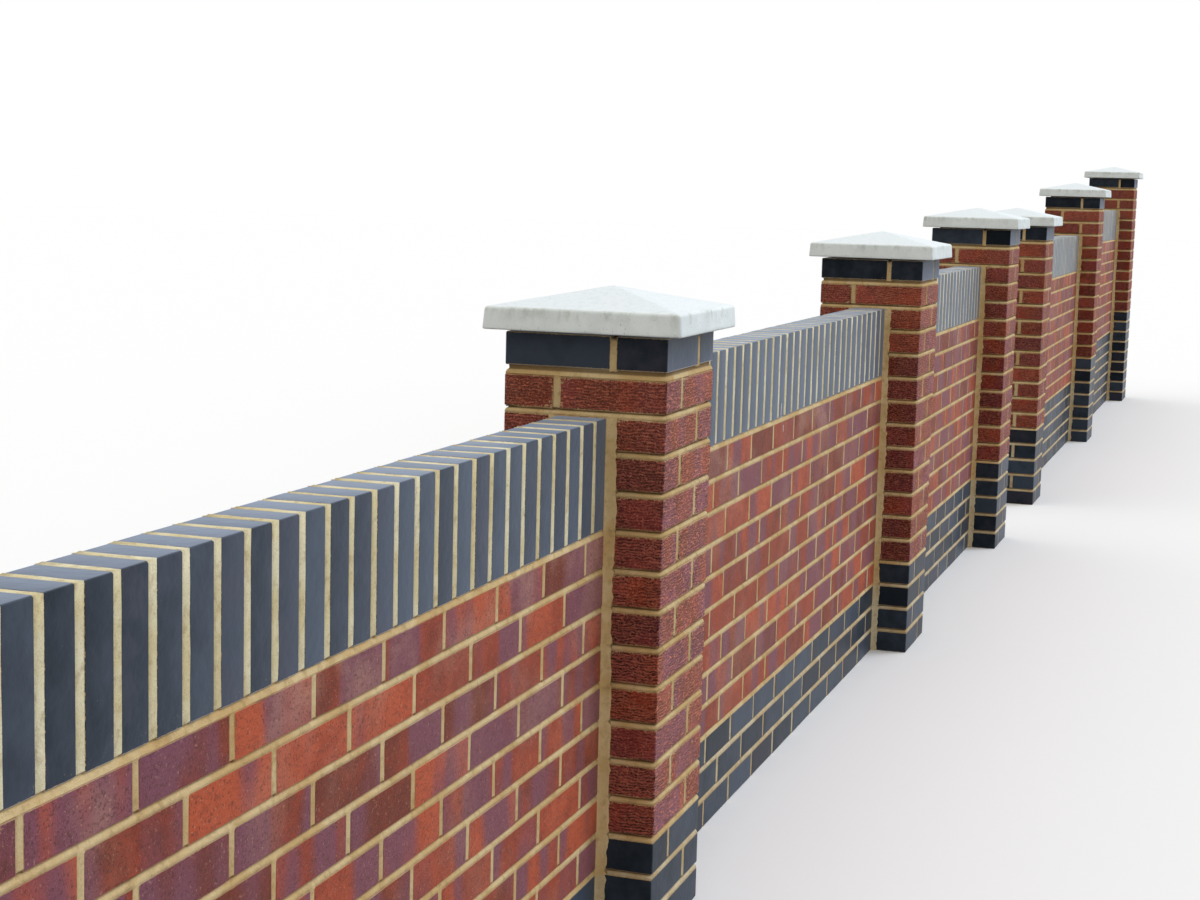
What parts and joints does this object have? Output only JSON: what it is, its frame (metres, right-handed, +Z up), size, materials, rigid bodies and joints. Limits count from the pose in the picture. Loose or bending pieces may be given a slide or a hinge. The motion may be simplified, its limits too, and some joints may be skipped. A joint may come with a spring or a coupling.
{
  "type": "stepped brick garden wall with capped piers",
  "caption": "Low garden wall of red brick, stepped uphill in bays between square piers, with blue brick plinth, band and soldier coping, concrete pier caps and an open gateway.",
  "frame": {"origin": "under the middle of the wall at the foot of the brickwork", "axes": "+X uphill along the wall, +Y from the street face to the garden face, +Z up"},
  "size_m": [15.1374, 0.4, 1.734],
  "materials": {
    "red_brick": "rough, sanded and dragged faces, multi-coloured from orange-red to plum, buff mortar",
    "blue_brick": "smooth satin engineering brick, slate blue, buff mortar",
    "cast_concrete": "matt pale cast concrete with light grey-green staining"
  },
  "bodies": {
    "root": {"pier_1_plinth": "blue_brick", "pier_1_shaft": "red_brick", "pier_1_band": "blue_brick", "pier_1_cap": "cast_concrete", "pier_2_plinth": "blue_brick", "pier_2_shaft": "red_brick", "pier_2_band": "blue_brick", "pier_2_cap": "cast_concrete", "pier_3_plinth": "blue_brick", "pier_3_shaft": "red_brick", "pier_3_band": "blue_brick", "pier_3_cap": "cast_concrete", "pier_4_plinth": "blue_brick", "pier_4_shaft": "red_brick", "pier_4_band": "blue_brick", "pier_4_cap": "cast_concrete", "pier_5_plinth": "blue_brick", "pier_5_shaft": "red_brick", "pier_5_band": "blue_brick", "pier_5_cap": "cast_concrete", "pier_6_plinth": "blue_brick", "pier_6_shaft": "red_brick", "pier_6_band": "blue_brick", "pier_6_cap": "cast_concrete", "pier_7_plinth": "blue_brick", "pier_7_shaft": "red_brick", "pier_7_band": "blue_brick", "pier_7_cap": "cast_concrete", "bay_1_plinth": "blue_brick", "bay_1_panel": "red_brick", "bay_1_coping": "blue_brick", "bay_2_plinth": "blue_brick", "bay_2_panel": "red_brick", "bay_2_coping": "blue_brick", "bay_3_plinth": "blue_brick", "bay_3_panel": "red_brick", "bay_3_coping": "blue_brick", "bay_4_plinth": "blue_brick", "bay_4_panel": "red_brick", "bay_4_coping": "blue_brick", "bay_5_plinth": "blue_brick", "bay_5_panel": "red_brick", "bay_5_coping": "blue_brick"}
  },
  "joints": []
}
